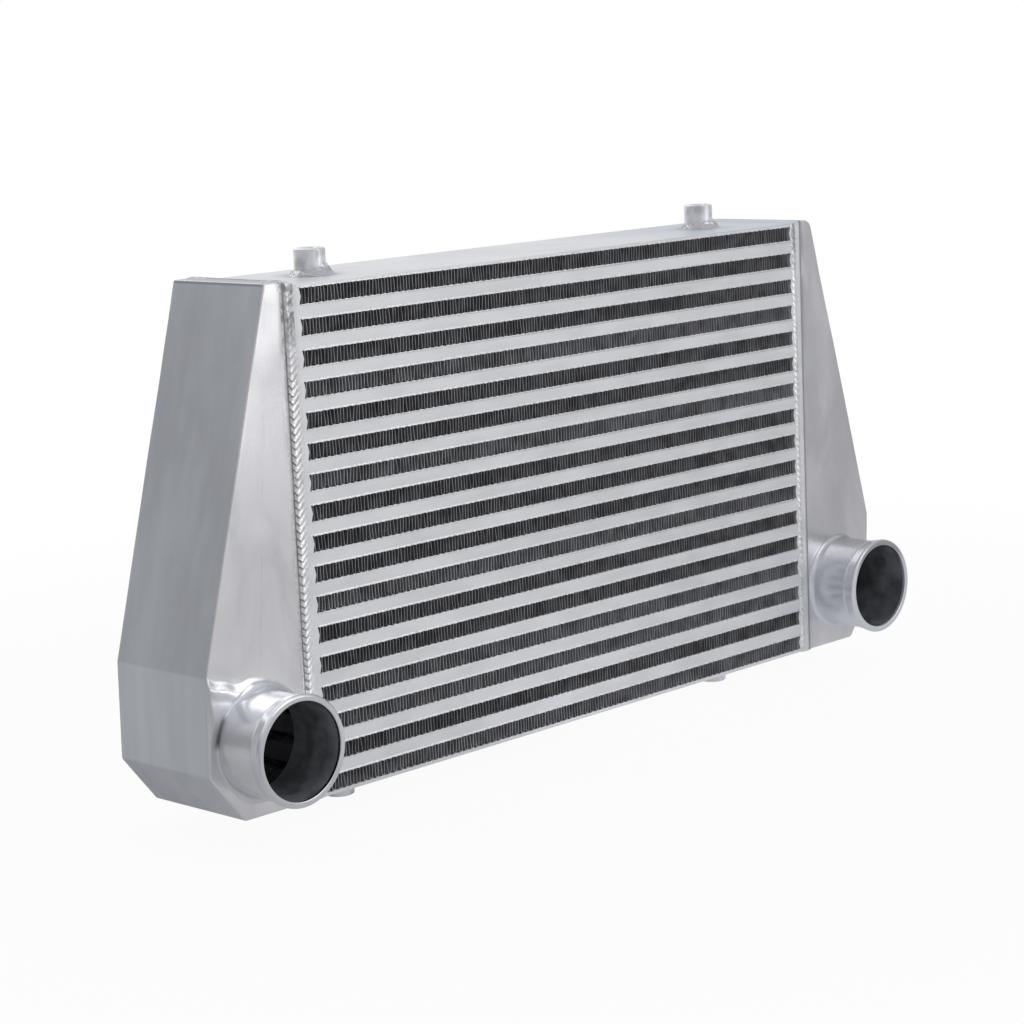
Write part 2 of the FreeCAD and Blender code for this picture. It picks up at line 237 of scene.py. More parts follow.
class StageSettings(bpy.types.PropertyGroup):
    """Floor, backdrop, lamps and camera."""

    floor: colour_property("Floor", "Colour of the floor and backdrop", (0.86, 0.86, 0.87))
    key: bpy.props.FloatProperty(
        name="Key", description="Power of the lamp above the front", default=9.0, min=0.0, unit="POWER")
    low: bpy.props.FloatProperty(
        name="Low", description="Power of the low lamp that the polished faces mirror",
        default=1.95, min=0.0, unit="POWER")
    top: bpy.props.FloatProperty(
        name="Top", description="Power of the lamp above and behind", default=4.0, min=0.0, unit="POWER")
    lens: bpy.props.FloatProperty(
        name="Lens", description="Focal length on a 36 mm sensor", default=94.12, min=1.0, unit="CAMERA")


SETTINGS = {
    "fins": FinSettings,
    "tanks": TankSettings,
    "welds": WeldSettings,
    "necks": NeckSettings,
    "bosses": BossSettings,
    "finish": FinishSettings,
    "stage": StageSettings,
}


class IntercoolerSettings(bpy.types.PropertyGroup):
    """All sizes and colours of the looks."""

    fins: bpy.props.PointerProperty(type=FinSettings)
    tanks: bpy.props.PointerProperty(type=TankSettings)
    welds: bpy.props.PointerProperty(type=WeldSettings)
    necks: bpy.props.PointerProperty(type=NeckSettings)
    bosses: bpy.props.PointerProperty(type=BossSettings)
    finish: bpy.props.PointerProperty(type=FinishSettings)
    stage: bpy.props.PointerProperty(type=StageSettings)


# Shading


class Amount:
    """A number that varies over a surface, with plain arithmetic that adds Math nodes."""

    def __init__(self, shading, socket):
        self.shading = shading
        self.socket = socket

    def math(self, operation, *others):
        inputs = dict(enumerate((self, *others)))
        node = self.shading.add("ShaderNodeMath", {"operation": operation}, inputs)
        return Amount(self.shading, node.outputs[0])

    def __add__(self, other):
        return self.math("ADD", other)

    def __sub__(self, other):
        return self.math("SUBTRACT", other)

    def __mul__(self, other):
        return self.math("MULTIPLY", other)

    def __truediv__(self, other):
        return self.math("DIVIDE", other)

    def __rsub__(self, other):
        return self.shading.number(other).math("SUBTRACT", self)

    __radd__ = __add__
    __rmul__ = __mul__

    def between(self, low, high):
        """0 below low, 1 above high and a soft step between them."""
        node = self.shading.add("ShaderNodeMapRange", {"interpolation_type": "SMOOTHSTEP"},
                                {"Value": self, "From Min": low, "From Max": high})
        return Amount(self.shading, node.outputs["Result"])


class Shading:
    """The nodes of one material or of the world."""

    def __init__(self, tree):
        self.tree = tree
        tree.nodes.clear()

    def add(self, kind, settings=None, inputs=None):
        """One node: its settings first, then the values or links of its sockets."""
        node = self.tree.nodes.new(kind)
        for name, value in (settings or {}).items():
            setattr(node, name, value)
        for name, value in (inputs or {}).items():
            socket = node.inputs[name]
            value = getattr(value, "socket", value)
            if isinstance(value, bpy.types.NodeSocket):
                self.tree.links.new(value, socket)
            elif socket.type == "RGBA":
                socket.default_value = (*value, 1)
            else:
                socket.default_value = value
        return node

    def number(self, value):
        """A plain number as an amount."""
        node = self.add("ShaderNodeValue")
        node.outputs[0].default_value = value
        return Amount(self, node.outputs[0])

    def place(self):
        """Places on the object in metres, as vector, x, y and z."""
        vector = self.add("ShaderNodeTexCoord").outputs["Object"]
        split = self.add("ShaderNodeSeparateXYZ", None, {0: vector})
        return [vector] + [Amount(self, socket) for socket in split.outputs]

    def stretched(self, vector, scale):
        """The places, stretched by a number along each axis."""
        return self.add("ShaderNodeVectorMath", {"operation": "MULTIPLY"},
                        {0: vector, 1: scale}).outputs[0]

    def measure(self, operation, *vectors):
        """A number worked out from vectors, such as a length."""
        node = self.add("ShaderNodeVectorMath", {"operation": operation}, dict(enumerate(vectors)))
        return Amount(self, node.outputs["Value"])

    def rays(self):
        """1 for what the camera sees directly or through glass, and 1 for what is mirrored."""
        rays = self.add("ShaderNodeLightPath")
        seen, through, mirrored = (Amount(self, rays.outputs[f"Is {kind} Ray"])
                                   for kind in ("Camera", "Transmission", "Glossy"))
        return seen.math("MAXIMUM", through), mirrored

    def cloud(self, vector, scale, detail=2.0, twist=0.0):
        """Soft noise from 0 to 1, its scale given per metre along each axis."""
        node = self.add("ShaderNodeTexNoise", None, {
            "Vector": self.stretched(vector, scale), "Scale": 1.0, "Detail": detail,
            "Distortion": twist})
        return Amount(self, node.outputs[0])

    def specks(self, vector, scale):
        """Distance to the nearest of many scattered points, in cells."""
        node = self.add("ShaderNodeTexVoronoi", None, {
            "Vector": self.stretched(vector, scale), "Scale": 1.0})
        return Amount(self, node.outputs["Distance"])

    def mix(self, amount, low, high):
        """A colour between two colours."""
        node = self.add("ShaderNodeMix", {"data_type": "RGBA"}, {0: amount, 6: low, 7: high})
        return node.outputs[2]

    def mottled(self, cloud, span, colour, factors):
        """A colour between a darker and a lighter tone of itself, as a cloud runs over a span."""
        dark, light = (shade(colour, factor) for factor in factors)
        return self.mix(cloud.between(*span), dark, light)

    def bump(self, height, depth):
        """A normal bent by a height from 0 to 1 that stands for a depth in metres."""
        return self.add("ShaderNodeBump", None, {"Distance": depth, "Height": height}).outputs[0]

    def metal(self, colour, roughness, normal=None, metallic=1.0):
        """The shader of a bare metal, and its way out."""
        values = {"Base Color": colour, "Roughness": roughness, "Metallic": metallic}
        if normal is not None:
            values["Normal"] = normal
        shader = self.add("ShaderNodeBsdfPrincipled", None, values)
        self.add("ShaderNodeOutputMaterial", None, {"Surface": shader.outputs[0]})


def new_material(name):
    """An empty material and the shading of its nodes."""
    material = bpy.data.materials.new(name)
    material.use_nodes = True
    return material, Shading(material.node_tree)


def shade(colour, factor):
    """A colour made darker or lighter by a factor."""
    return tuple(min(1.0, part * factor) for part in colour)


# The crease beside the left neck that gets painted shade: its angle above the outward side, and its
# distance from the neck's axis
CREASE_SHADE_TURN = math.radians(22)
CREASE_RADIUS = (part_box("neck_welds")[1].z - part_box("neck_welds")[0].z) / 2 - 4.2 * MM


def bar_metal(nodes, finish):
    """Satin bars and plates, with bright specks of braze along the edges of each row."""
    place, x, y, z = nodes.place()
    row = (z - STACK_LOW) / ROW_PITCH
    along_row = row - row.math("FLOOR")
    to_edge = (along_row - ROW_HEIGHT / ROW_PITCH).math("ABSOLUTE")
    to_edge = to_edge.math("MINIMUM", along_row.math("MINIMUM", 1 - along_row))
    near_edge = 1 - to_edge.between(0.01, 0.055)
    grain = nodes.cloud(place, (700, 700, 700), detail=3)
    clouds = nodes.cloud(place, (22, 22, 60), detail=3)
    rolled = nodes.cloud(place, (14, 14, 1600), detail=2)
    braze = (1 - nodes.specks(place, (420, 420, 700)).between(0.12, 0.34)) * near_edge
    colour = nodes.mottled(clouds, (0.3, 0.7), finish.bar, (0.9, 1.0))
    colour = nodes.mix(braze * 0.6, colour, BRIGHT_BRAZE)
    # Painted shade and reflection: the top plate is darker round the bosses
    off_boss = x.math("ABSOLUTE") - bpy.context.scene.intercooler.bosses.out
    near_boss = 1 - ((off_boss * off_boss + y * y).math("SQRT") / MM).between(15, 27)
    on_top = z.between(CORE_HIGH.z - MM, CORE_HIGH.z)
    colour = nodes.mix(near_boss * on_top * 0.4, colour, shade(finish.bar, 0.5))
    # Painted bluish reflection on the right end of the top plate
    colour = nodes.mix(x.between(0.06, 0.17) * on_top * 0.5, colour, PLATE_END_REFLECTION)
    # Painted shade on the bar ends inside the tanks
    end = x.math("ABSOLUTE").between(CORE_END - 0.3 * MM, CORE_END)
    colour = nodes.mix(end * 0.7, colour, finish.inside)
    roughness = clouds * 0.14 + grain * 0.08 + (finish.bar_gloss - 0.11) - braze * 0.2
    height = grain * 0.5 + rolled * 0.25 + braze * 0.8
    nodes.metal(colour, roughness, nodes.bump(height, 0.00008), metallic=0.65)


def braze_metal(nodes, finish):
    """Braze that has run along the edges of the rows: bright and a little uneven."""
    place = nodes.place()[0]
    lumps = nodes.cloud(place, (500, 500, 500), detail=2)
    colour = nodes.mottled(lumps, (0.3, 0.6), finish.braze, (0.8, 1.0))
    nodes.metal(colour, lumps * 0.2 + 0.24, nodes.bump(lumps, 0.0001), metallic=0.85)


def foil_metal(nodes, finish, paler=1.0):
    """Dark foil as painted shade between its legs, with painted highlights on its front and back edges."""
    place, _, y, _ = nodes.place()
    depth = (y.math("ABSOLUTE") * -1 + CORE_HIGH.y) / MM
    clouds = nodes.cloud(place, (90, 90, 90), detail=2)
    # Painted highlight along the front and back edges
    edge = (1 - depth.between(0.35, 1.5)) * clouds.between(0.2, 0.6)
    # Random tones of the dark foil, which stands for painted shade
    dull, clean = shade(finish.foil, 0.75 * paler), shade(finish.foil, 1.2 * paler)
    inner = nodes.mix(clouds.between(0.3, 0.7), dull, clean)
    colour = nodes.mix(edge, inner, shade(finish.foil_edge_highlight, 0.8 + 0.2 * paler))
    nodes.metal(colour, clouds * 0.16 + 0.36, metallic=0.7)


def pale_foil_metal(nodes, finish):
    """Foil of the rows painted paler, as painted light."""
    foil_metal(nodes, finish, PALER)


def side_metal(nodes, finish):
    """Rolled sheet, softly brushed upright, with faint smears; a painted reflection darkens its top."""
    place, _, _, z = nodes.place()
    brushed = nodes.cloud(place, (1500, 1500, 12), detail=3)
    streaks = nodes.cloud(place, (90, 90, 5), detail=2)
    smears = nodes.cloud(place, (12, 12, 7), detail=3, twist=0.6)
    tone = streaks * 0.5 + smears * 0.5
    colour = nodes.mottled(tone, (0.3, 0.7), finish.side, (0.9, 1.04))
    # Painted reflection: the top of the sheet is darker
    on_top = z.between(TANK_HIGH.z - 2.2 * MM, TANK_HIGH.z - 1.6 * MM)
    colour = nodes.mix(on_top, colour, shade(finish.side, 0.66))
    roughness = brushed * 0.12 + smears * 0.12 + (finish.side_gloss - 0.12)
    nodes.metal(colour, roughness, nodes.bump(brushed * 0.7 + streaks * 0.3, 0.00003))


def crease_shade_by_neck(x, y, z):
    """Painted shade in the crease between the left neck and the outer corner of its tank."""
    out = x * -1 - NECK_CENTRE.x
    up = z - NECK_CENTRE.z
    away = (out * out + up * up).math("SQRT")
    towards = (out * math.cos(CREASE_SHADE_TURN) + up * math.sin(CREASE_SHADE_TURN)) / away
    depth = (away - CREASE_RADIUS) / MM
    ring = (1 - depth.between(0.2, 2.4)) * 0.6 + (1 - depth.between(2.0, 6.0)) * 0.25
    front = 1 - ((TANK_FRONT - y) / MM).between(0.9, 2.2)
    return ring * front * towards.between(0.93, 0.99) * (y * -1).between(0, 0.001)


def face_metal(nodes, finish):
    """Polished sheet with cloudy patches that the polishing wheel leaves."""
    place, x, y, z = nodes.place()
    clouds = nodes.cloud(place, (26, 26, 15), detail=3, twist=0.8)
    patches = nodes.cloud(place, (9, 9, 6), detail=2, twist=0.5)
    scratches = nodes.cloud(place, (2200, 2200, 60), detail=2)
    tone = clouds * 0.6 + patches * 0.4
    colour = nodes.mottled(tone, (0.35, 0.65), finish.face, (0.86, 1.04))
    # Darker smears beside the bead, partly painted shade, stronger towards the top
    to_core = (x.math("ABSOLUTE") - CORE_END) / MM
    smears = nodes.cloud(place, (150, 150, 34), detail=3, twist=0.8)
    toe = (1 - to_core.between(2.6, 8.5)) * smears.between(0.34, 0.66)
    colour = nodes.mix(toe * z.between(0.2, 0.3) * 0.6 + toe * 0.2, colour, shade(finish.face, 0.4))
    # Painted shade in the crease beside the left neck
    crease_shade = crease_shade_by_neck(x, y, z)
    colour = nodes.mix(crease_shade, colour, finish.crease_shade)
    roughness = clouds * 0.16 + scratches * 0.05 + crease_shade * 0.2 + z.between(0.18, 0.28) * 0.05
    roughness += finish.face_gloss - 0.1
    nodes.metal(colour, roughness, nodes.bump(clouds * 0.8 + scratches * 0.2, 0.00006))


def neck_metal(nodes, finish):
    """Turned tube, polished, with fine rings round it; the right neck has a painted reflection."""
    place, x, y, z = nodes.place()
    rings = nodes.cloud(place, (30, 2600, 30), detail=2)
    clouds = nodes.cloud(place, (40, 40, 40), detail=3, twist=0.5)
    colour = nodes.mottled(clouds, (0.3, 0.7), finish.neck, (0.91, 1.03))
    # Painted reflection on the right neck: its top darker; the lower part, in the satin mask, paler,
    # bluish, less metallic
    right, high = x.between(-0.1, 0.1), (z - NECK_CENTRE.z).between(8 * MM, 26 * MM)
    satin = right * (1 - high)
    colour = nodes.mix(right * high * 0.7, colour, shade(finish.neck, 0.54))
    colour = nodes.mix(satin * 0.5, colour, RIGHT_NECK_REFLECTION)
    # Painted shade in the crease beside the left neck
    colour = nodes.mix(crease_shade_by_neck(x, y, z), colour, finish.crease_shade)
    roughness = clouds * 0.14 + rings * 0.06 + right * 0.05 + satin * 0.06 + (finish.neck_gloss - 0.09)
    nodes.metal(colour, roughness, nodes.bump(rings * 0.4 + clouds * 0.6, 0.00004), 1 - satin * 0.4)


def weld_metal(nodes, finish):
    """Weld metal as laid: bright, with dull grey patches and fine pits, duller at its top end."""
    place, _, _, z = nodes.place()
    patches = nodes.cloud(place, (260, 260, 260), detail=3, twist=0.7)
    pits = nodes.specks(place, (900, 900, 900))
    colour = nodes.mottled(patches, (0.3, 0.65), finish.weld, (0.96, 1.2))
    dull = nodes.cloud(place, (240, 240, 150), detail=2).between(0.42, 0.62) * z.between(0.285, 0.305)
    colour = nodes.mix(dull * 0.7, colour, shade(finish.weld, 0.3))
    roughness = patches * 0.2 + (finish.weld_gloss - 0.08)
    nodes.metal(colour, roughness, nodes.bump(pits * 0.4 + patches * 0.6, 0.00012), metallic=0.85)


def weld_toe_shade_metal(nodes, finish):
    """Painted shade: dark, dull metal in the grooves of a bead and along its toe."""
    place = nodes.place()[0]
    patches = nodes.cloud(place, (300, 300, 120), detail=2)
    colour = nodes.mottled(patches, (0.3, 0.7), finish.weld, (0.36, 0.62))
    nodes.metal(colour, patches * 0.2 + 0.3, nodes.bump(patches, 0.0001), metallic=0.8)


def boss_weld_metal(nodes, finish):
    """Weld round the bosses, darkened as a painted reflection of the floor, lighter higher up towards the
    boss.
    """
    place, _, _, z = nodes.place()
    patches = nodes.cloud(place, (260, 260, 260), detail=4, twist=0.5)
    near_boss = (z - CORE_HIGH.z).between(3.5 * MM, 7.0 * MM)
    tone = patches * 0.6 + near_boss * 0.5
    colour = nodes.mottled(tone, (0.3, 0.8), finish.boss_weld, (0.85, 1.25))
    nodes.metal(colour, patches * 0.2 + 0.2, nodes.bump(patches, 0.0006), metallic=0.85)


def boss_metal(nodes, finish):
    """Turned bosses, satin."""
    place = nodes.place()[0]
    clouds = nodes.cloud(place, (110, 110, 110), detail=3)
    rings = nodes.cloud(place, (30, 30, 2600), detail=2)
    colour = nodes.mottled(clouds, (0.35, 0.6), finish.boss, (0.76, 1.06))
    nodes.metal(colour, clouds * 0.12 + rings * 0.06 + 0.26, nodes.bump(rings, 0.00003), metallic=0.85)


def inside_metal(nodes, finish):
    """Dark metal inside the bores and tanks, oxide and painted shade, with a few bright pits."""
    place = nodes.place()[0]
    clouds = nodes.cloud(place, (70, 70, 70), detail=4)
    pits = 1 - nodes.specks(place, (190, 190, 190)).between(0.05, 0.12)
    colour = nodes.mottled(clouds, (0.3, 0.7), finish.inside, (0.7, 1.5))
    colour = nodes.mix(pits * 0.35, colour, PIT)
    nodes.metal(colour, clouds * 0.2 + 0.45, nodes.bump(clouds, 0.0002), metallic=0.5)


# The name of each finish's material, and what fills it
FINISHES = {
    "bar": ("brazed bar", bar_metal),
    "braze": ("braze", braze_metal),
    "foil": ("fin foil", foil_metal),
    "pale foil": ("fin foil", pale_foil_metal),
    "side": ("brushed tank sheet", side_metal),
    "face": ("polished tank sheet", face_metal),
    "neck": ("polished neck", neck_metal),
    "weld": ("weld metal", weld_metal),
    "weld toe": ("weld toe", weld_toe_shade_metal),
    "boss": ("turned boss", boss_metal),
    "boss weld": ("boss weld", boss_weld_metal),
    "inside": ("oxidised inside", inside_metal),
}
MADE = {}


def finish_named(name):
    """One of the finishes, made when it is first asked for."""
    if name not in MADE:
        title, fill = FINISHES[name]
        MADE[name], nodes = new_material(title)
        fill(nodes, bpy.context.scene.intercooler.finish)
    return MADE[name]


# Building pieces


def grid(columns, rows, close_columns=False, close_rows=False, start=0):
    """Faces of a grid of points that are numbered row after row."""
    faces = []
    for j in range(rows if close_rows else rows - 1):
        for i in range(columns if close_columns else columns - 1):
            a = j * columns + i
            b = j * columns + (i + 1) % columns
            c = (j + 1) % rows * columns + (i + 1) % columns
            d = (j + 1) % rows * columns + i
            faces.append(tuple(start + k for k in (a, b, c, d)))
    return faces


def circle(count):
    """Cosines and sines of even steps round a circle."""
    return [(math.cos(2 * math.pi * i / count), math.sin(2 * math.pi * i / count)) for i in range(count)]


def on_side(points, sign):
    """Points of the right side, brought to the side of a sign."""
    return [Vector((sign * point.x, point.y, point.z)) for point in points]


def new_object(name, data):
    """An object in the scene."""
    made = bpy.data.objects.new(name, data)
    bpy.context.scene.collection.objects.link(made)
    return made


def make_piece(name, points, faces, finishes, nodes=(), picks=None, sharp=35, weigh=False):
    """A piece of the intercooler, from its points and faces, that rides on the core. The picks say
    which of the finishes each face has."""
    mesh = bpy.data.meshes.new(name)
    mesh.from_pydata([tuple(point) for point in points], [], faces)
    mesh.validate()
    for finish in finishes:
        mesh.materials.append(finish_named(finish))
    if picks is not None:
        mesh.polygons.foreach_set("material_index", picks)
    mesh.shade_smooth()
    mesh.set_sharp_from_angle(angle=math.radians(sharp))
    piece = new_object(name, mesh)
    turn_faces_out(mesh)
    if weigh:
        piece.modifiers.new("even shading", "WEIGHTED_NORMAL").keep_sharp = True
    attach(piece, BODY)
    if nodes:
        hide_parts(*nodes)


def turn_faces_out(mesh):
    """Turns every face of a closed mesh outwards."""
    shape = bmesh.new()
    shape.from_mesh(mesh)
    bmesh.ops.recalc_face_normals(shape, faces=shape.faces)
    shape.to_mesh(mesh)
    shape.free()


def dress_node(name, finish, bevel=0.0):
    """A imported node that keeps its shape, with a finish and softly broken edges."""
    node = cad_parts[name]
    if not node.data.materials:
        node.data.materials.append(None)
    for place in node.material_slots:
        place.link = "OBJECT"
        place.material = finish_named(finish)
    if bevel:
        node.modifiers.new("joined faces", "WELD").merge_threshold = SAME_CORNER
        broken = node.modifiers.new("broken edges", "BEVEL")
        broken.width = bevel
        broken.segments = 2
        broken.limit_method = "ANGLE"


def numbered(name, count):
    """Names of a row of like nodes."""
    return [f"{name}_{number:02d}" for number in range(1, count + 1)]


class PieceOperator:
    """What the operators share."""

    bl_options = {"REGISTER", "UNDO"}

    @property
    def settings(self):
        return bpy.context.scene.intercooler


class INTERCOOLER_OT_ambient_fins(PieceOperator, bpy.types.Operator):
    """Folds a fine foil strip for each of the ambient rows"""

    bl_idname = "intercooler.ambient_fins"
    bl_label = "Ambient fins"

    def execute(self, context):
        for number, node in enumerate(numbered("ambient_fin", ROWS), 1):
            self.fold_row(node, random.Random(number), "pale foil" if number in PALE_ROWS else "foil")
        return {"FINISHED"}

    def fold_row(self, node, chance, finish):
        fins = self.settings.fins
        low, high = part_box(node)
        legs = 2 * round((high.x - low.x) / fins.leg_pitch / 2)
        run = (high.x - low.x) / legs
        radius = fins.crest * run
        half = (high.z - low.z - fins.foil) / 2
        middle = (high.z + low.z) / 2
        line, depths = [], []
        for i in range(legs + 1):
            stray = chance.uniform(-1, 1) * fins.stray * run if 0 < i < legs else 0
            up = 1 if i % 2 else -1
            depth = low.y + chance.uniform(0, 1) * fins.ragged
            turns = [math.radians(turn) for turn in CREST_TURNS]
            if i == 0:
                turns = turns[2:]
            elif i == legs:
                turns = turns[:2]
            for turn in turns:
                lean = chance.uniform(-1, 1) * fins.stray * run * 0.5 if abs(turn) > 1 else 0
                line.append((low.x + i * run + stray + lean + radius * math.sin(turn),
                             middle + up * (half - radius + radius * math.cos(turn))))
                depths.append(depth)
        points = []
        for i, (x, z) in enumerate(line):
            before, after = line[max(0, i - 1)], line[min(len(line) - 1, i + 1)]
            across = Vector((before[1] - after[1], 0, after[0] - before[0])).normalized()
            offset = across * fins.foil / 2
            for side, y in ((1, depths[i]), (-1, depths[i]), (-1, high.y), (1, high.y)):
                points.append(Vector((x, y, z)) + side * offset)
        last = len(points) - 4
        faces = grid(4, len(line), close_columns=True)
        faces += [(3, 2, 1, 0), (last, last + 1, last + 2, last + 3)]
        make_piece(node.replace("fin", "fin_row"), points, faces, [finish], [node], sharp=50)


class INTERCOOLER_OT_core_bars(PieceOperator, bpy.types.Operator):
    """Finishes the parting sheets, bars and plates of the brazed core"""

    bl_idname = "intercooler.core_bars"
    bl_label = "Core bars"

    def execute(self, context):
        for node in (*numbered("charge_tube", TUBES), "top_plate", "bottom_plate"):
            dress_node(node, "bar", PLATE_EDGE if "plate" in node else BAR_EDGE)
            self.braze(node, random.Random(node))
        for node in ("left_end_bars", "right_end_bars"):
            dress_node(node, "bar", BAR_EDGE)
        dress_node("charge_fins", "foil")
        return {"FINISHED"}

    def braze(self, node, chance):
        """Braze along the edges of a passage, drawn up a little where the foil touches."""
        low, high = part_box(node)
        edges = [] if node == "bottom_plate" else [(low.z, -1)]
        edges += [] if node == "top_plate" else [(high.z, 1)]
        fins = self.settings.fins
        points, faces = [], []
        for z, up in edges:
            for forward, per_leg in ((1, 3), (-1, 2)):
                count = round(2 * FIN_END / fins.leg_pitch * per_leg)
                first = len(points)
                for i in range(count + 1):
                    x = -FIN_END + 2 * FIN_END * i / count
                    touch = max(0.0, math.cos(math.pi * (x + FIN_END) / fins.leg_pitch)) ** 2
                    run = (0.1 + 0.3 * touch + chance.uniform(0, 0.22)) * MM
                    swell = (0.1 + chance.uniform(0, 0.14)) * MM
                    for ahead, across in ((-0.2 * MM, -1.2 * MM), (swell, -0.5 * MM), (swell * 0.6, run),
                                          (-0.9 * MM, run * 0.4)):
                        points.append(Vector((x, forward * (CORE_LOW.y - ahead), z + up * across)))
                last = len(points) - 4
                faces += grid(4, count + 1, close_columns=True, start=first)
                faces += [tuple(first + k for k in range(4)), tuple(last + k for k in range(4))]
        make_piece(f"braze_{node}", points, faces, ["braze"], sharp=60)


def tank_top(tanks, sign):
    """Height of a tank's top: the right one came out a little lower."""
    return TANK_HIGH.z - (tanks.lower if sign > 0 else 0)


def tank_corners(tanks, sign):
    """Corners of a tank seen from the front, as on the right, with the bend at each."""
    top, bottom = tank_top(tanks, sign), TANK_LOW.z
    lean = (tanks.fold_width - tanks.top_width) / tanks.fold_drop
    return [
        (0, top, 0),
        (tanks.top_width + (TANK_HIGH.z - top) * lean, top, tanks.top_bend if sign > 0 else tanks.top_edge),
        (tanks.fold_width, TANK_HIGH.z - tanks.fold_drop, tanks.fold_bend),
        (tanks.full_width, bottom + tanks.chamfer_rise, tanks.low_bend),
        (tanks.bottom_width, bottom, tanks.low_bend),
        (0, bottom, 0),
    ]


def tank_line(tanks, sign, longest):
    """Points round a tank from its top joint to its bottom one, each with its outward side."""
    corners = [(Vector((x, 0, z)), bend) for x, z, bend in tank_corners(tanks, sign)]
    line = []

    def straight(start, end, side):
        count = max(1, math.ceil((end - start).length / longest))
        for i in range(count):
            line.append((start.lerp(end, i / count), side))

    start = corners[0][0]
    for (before, _), (corner, bend), (after, _) in zip(corners, corners[1:], corners[2:]):
        arriving = (corner - before).normalized()
        leaving = (after - corner).normalized()
        sides = [Vector((-run.z, 0, run.x)) for run in (arriving, leaving)]
        reach = bend * math.tan(arriving.angle(leaving) / 2)
        first, last = corner - arriving * reach, corner + leaving * reach
        straight(start, first, sides[0])
        centre = first - sides[0] * bend
        for i in range(BEND_STEPS):
            side = sides[0].slerp(sides[1], i / BEND_STEPS)
            line.append((centre + side * bend, side))
        start = last
        side = sides[1]
    straight(start, corners[-1][0], side)
    line.append((corners[-1][0], side))
    return [(point + Vector((CORE_END, 0, 0)), side) for point, side in line]


class INTERCOOLER_OT_tank_wraps(PieceOperator, bpy.types.Operator):
    """Bends the brushed outer sheets of the two tanks and closes their tops"""

    bl_idname = "intercooler.tank_wraps"
    bl_label = "Tank wraps"

    def execute(self, context):
        tanks = self.settings.tanks
        for side, sign in SIDES:
            line = tank_line(tanks, sign, WRAP_STEP)
            corner = max(k for k, (_, out) in enumerate(line) if out.z > 0.999)
            outer = [point for point, _ in line]
            inner = self.inner_line(line, tanks.wall)
            top = outer[:corner + 1], inner[:corner + 1]
            self.strip(f"{side}_tank_top", f"{side}_tank_top_sheet", *top, sign)
            self.strip(f"{side}_tank_side", f"{side}_tank_wrap", outer[corner:], inner[corner:], sign)
        return {"FINISHED"}

    def inner_line(self, line, wall):
        """The inner side of the bent sheet; it stays sharp where a bend is narrower than the sheet."""
        inner = [point - side * wall for point, side in line]
        for k in range(1, len(inner) - 1):
            step = line[k + 1][0] - line[k][0]
            if (inner[k + 1] - inner[k]).dot(step) < 0:
                inner[k + 1] = inner[k]
        return inner

    def strip(self, name, node, outer, inner, sign):
        """A bent sheet between its outer and its inner line, as deep as the space between the faces."""
        front = TANK_FRONT + self.settings.tanks.wall
        count = len(outer)
        points = [Vector((sign * point.x, y, point.z)) for y in (front, -front)
                  for point in outer + inner[::-1]]
        faces = grid(2 * count, 2, close_columns=True)
        picks = [1 if count <= i < 2 * count - 1 else 0 for i in range(len(faces))]
        for start in (0, 2 * count):
            for i in range(count - 1):
                across = start + 2 * count - 1 - i
                faces.append((start + i, start + i + 1, across - 1, across))
                picks.append(0)
        make_piece(name, points, faces, ["side", "inside"], [node], picks,
                   sharp=30, weigh=True)


# Reach round a neck's hole in which a face has its finest rings
CLOSE_REACH = 0.023


def smooth(value, low, high):
    """0 below low, 1 above high and a soft step between them."""
    share = min(1.0, max(0.0, (value - low) / (high - low)))
    return share * share * (3 - 2 * share)


def fillet_share(out, up, necks):
    """What is left of the weld round a neck: grinding took most of it on the outer side."""
    turn = abs(math.degrees(math.atan2(up, out)) - 8)
    return necks.fillet_outside + (1 - necks.fillet_outside) * smooth(turn, 38, 85)


def ground_height(x, z, sign, tanks):
    """Height of the ridge that grinding left on the outer side above the left neck."""
    if sign > 0:
        return 0.0
    out, up = (x - NECK_CENTRE.x) / MM, (z - NECK_CENTRE.z) / MM
    below = tanks.blend / MM + 0.0085 * (out - 8) ** 2 - up
    below += noise.noise(Vector((out / 11, 0.4, 0))) * 1.6
    share = smooth(out, -12, 6) * smooth(up, 0, 16)
    return tanks.blend_height * share * (smooth(below, -1.5, 5.5) - 0.75 * smooth(below, 4.5, 12))


